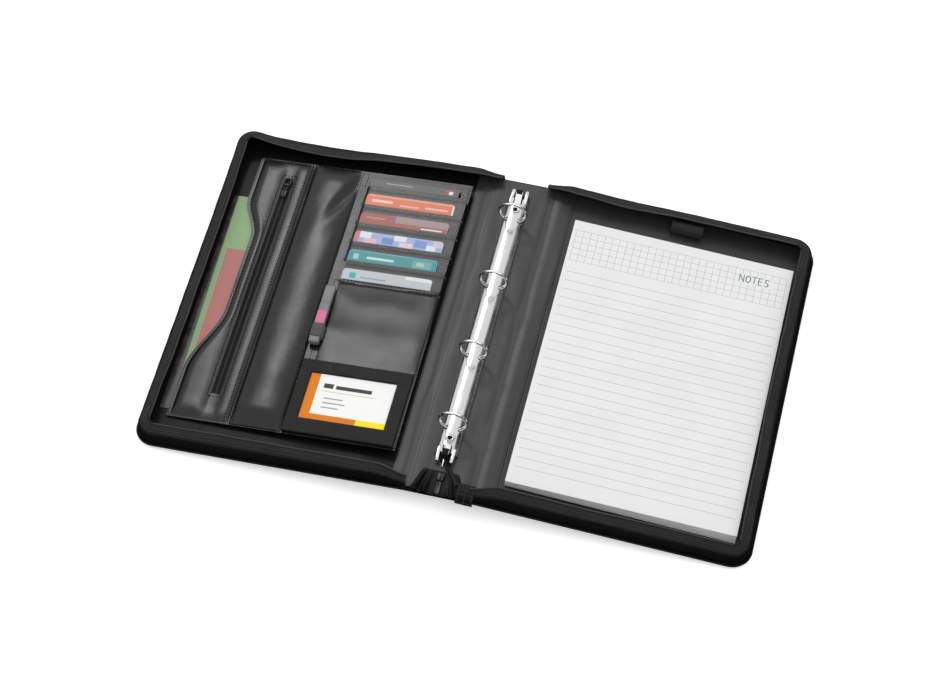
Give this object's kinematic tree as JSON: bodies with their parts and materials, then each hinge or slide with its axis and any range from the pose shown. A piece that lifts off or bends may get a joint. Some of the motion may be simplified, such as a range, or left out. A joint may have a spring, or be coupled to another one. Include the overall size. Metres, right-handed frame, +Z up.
{
  "type": "portfolio case",
  "caption": "Zip-around A4 portfolio case lying open, with a ring mechanism, a card and document organiser and a note pad.",
  "frame": {"origin": "under the middle of the spine, on the surface that the open case lies on", "axes": "+X across the spine towards the note pad, +Y up the page, +Z up"},
  "size_m": [0.5652, 0.3628, 0.0516],
  "materials": {
    "leather": "black grained PU leather, low sheen",
    "lining": "dark grey smooth lining",
    "greyboard": "stiff greyboard",
    "chrome": "bright nickel-plated steel",
    "zinc": "zinc-plated steel",
    "zip_metal": "dark nickel zip slider",
    "zip_tape": "woven zip tape with coil teeth",
    "paper": "white writing paper",
    "backing_card": "grey-brown backing card",
    "elastic": "woven elastic",
    "brochure": "coated printed leaflet",
    "business_card": "printed card",
    "usb_plastic": "grey plastic shell",
    "card_1": "printed PVC card",
    "card_2": "printed PVC card",
    "card_3": "printed PVC card",
    "card_4": "printed PVC card",
    "card_5": "printed PVC card",
    "card_6": "printed PVC card"
  },
  "bodies": {
    "back_cover": {"outer_cover_back": "leather", "board_back": "greyboard", "lining_back": "lining", "piping_back": "leather", "gusset_band_back": "leather", "zip_tape_back": "zip_tape", "pad_pocket_panel": "lining", "pad_backing_card": "backing_card", "pad_pages": "paper", "pad_top_sheet": "paper", "pen_loop": "elastic"},
    "spine": {"outer_spine": "leather", "board_spine": "greyboard", "lining_spine": "lining", "spine_end_gusset": "leather", "ring_housing": "chrome", "rivet_top": "chrome", "rivet_bottom": "chrome", "main_zip_slider": "zip_metal"},
    "front_cover": {"outer_cover_front": "leather", "board_front": "greyboard", "lining_front": "lining", "piping_front": "leather", "gusset_band_front": "leather", "zip_tape_front": "zip_tape", "brochure": "brochure"},
    "organiser": {"organiser_panel": "leather", "soft_pocket_panel": "leather", "pocket_zip_tape": "zip_tape", "lower_pocket_panel": "leather", "usb_loop": "elastic", "id_window_frame": "leather", "card_slot_1": "leather", "card_slot_2": "leather", "card_slot_3": "leather", "card_slot_4": "leather", "card_slot_5": "leather"},
    "ring_left": {"ring_blade_left": "zinc", "ring_half_left_1": "chrome", "ring_half_left_2": "chrome", "ring_half_left_3": "chrome", "ring_half_left_4": "chrome"},
    "ring_right": {"ring_blade_right": "zinc", "ring_half_right_1": "chrome", "ring_half_right_2": "chrome", "ring_half_right_3": "chrome", "ring_half_right_4": "chrome"},
    "lever_top": {"lever_top": "chrome"},
    "lever_bottom": {"lever_bottom": "chrome"},
    "pocket_slider": {"pocket_zip_slider": "zip_metal"},
    "pocket_puller": {"pocket_zip_puller": "zip_metal"},
    "main_puller": {"main_zip_puller": "zip_metal"},
    "card_1": {"card_1": "card_1"},
    "card_2": {"card_2": "card_2"},
    "card_3": {"card_3": "card_3"},
    "card_4": {"card_4": "card_4"},
    "card_5": {"card_5": "card_5"},
    "card_6": {"card_6": "card_6"},
    "usb_stick": {"usb_stick": "usb_plastic"},
    "business_card": {"business_card": "business_card"}
  },
  "joints": [
    {"name": "spine_fold", "type": "hinge", "parent": "back_cover", "child": "spine", "pos_m": [0.03, 0, 0.01579], "axis": [0, 1, 0], "range_deg": [0, 93.6]},
    {"name": "cover_fold", "type": "hinge", "parent": "spine", "child": "front_cover", "pos_m": [-0.03, 0, 0.01579], "axis": [0, 1, 0], "range_deg": [0, 93.6]},
    {"name": "pocket_compress", "type": "hinge", "parent": "front_cover", "child": "organiser", "pos_m": [-0.26086, 0, 0.00628], "axis": [0, 1, 0], "range_deg": [0, 1.85]},
    {"name": "ring_left_open", "type": "hinge", "parent": "spine", "child": "ring_left", "pos_m": [-0.0095, 0.0075, 0.02129], "axis": [0, -1, 0], "range_deg": [0, 10]},
    {"name": "ring_right_open", "type": "hinge", "parent": "spine", "child": "ring_right", "pos_m": [0.0075, 0.0075, 0.02129], "axis": [0, 1, 0], "range_deg": [0, 10]},
    {"name": "lever_top_press", "type": "hinge", "parent": "spine", "child": "lever_top", "pos_m": [-0.001, 0.1445, 0.02379], "axis": [-1, 0, 0], "range_deg": [0, 25]},
    {"name": "lever_bottom_press", "type": "hinge", "parent": "spine", "child": "lever_bottom", "pos_m": [-0.001, -0.1295, 0.02379], "axis": [1, 0, 0], "range_deg": [0, 25]},
    {"name": "pocket_zip_slide", "type": "slide", "parent": "organiser", "child": "pocket_slider", "axis": [0, -1, 0], "range_m": [0, 0.225]},
    {"name": "pocket_puller_swing", "type": "hinge", "parent": "pocket_slider", "child": "pocket_puller", "pos_m": [-0.22127, 0.1212, 0.01247], "axis": [0.9955, 0, 0.095], "range_deg": [0, 95]},
    {"name": "main_puller_swing", "type": "hinge", "parent": "spine", "child": "main_puller", "pos_m": [0, -0.168, 0.02229], "axis": [-1, 0, 0], "range_deg": [0, 100]},
    {"name": "card_1_slide", "type": "slide", "parent": "organiser", "child": "card_1", "axis": [-0.0068, 0.9974, 0.0711], "range_m": [0, 0.014]},
    {"name": "card_2_slide", "type": "slide", "parent": "organiser", "child": "card_2", "axis": [-0.0068, 0.9974, 0.0711], "range_m": [0, 0.02]},
    {"name": "card_3_slide", "type": "slide", "parent": "organiser", "child": "card_3", "axis": [-0.0068, 0.9974, 0.0711], "range_m": [0, 0.02]},
    {"name": "card_4_slide", "type": "slide", "parent": "organiser", "child": "card_4", "axis": [-0.0068, 0.9974, 0.0711], "range_m": [0, 0.02]},
    {"name": "card_5_slide", "type": "slide", "parent": "organiser", "child": "card_5", "axis": [-0.0068, 0.9974, 0.0711], "range_m": [0, 0.02]},
    {"name": "card_6_slide", "type": "slide", "parent": "organiser", "child": "card_6", "axis": [-0.0068, 0.9974, 0.0711], "range_m": [0, 0.02]},
    {"name": "usb_slide", "type": "slide", "parent": "organiser", "child": "usb_stick", "axis": [0, 1, 0], "range_m": [0, 0.03]},
    {"name": "business_card_slide", "type": "slide", "parent": "organiser", "child": "business_card", "axis": [0, 1, 0], "range_m": [0, 0.03]}
  ],
  "couplings": [
    {"joint": "pocket_compress", "follows": "cover_fold", "ratio": 0.019765},
    {"joint": "ring_right_open", "follows": "ring_left_open", "ratio": 1},
    {"joint": "lever_top_press", "follows": "ring_left_open", "ratio": 2.5},
    {"joint": "lever_bottom_press", "follows": "ring_left_open", "ratio": 2.5}
  ]
}
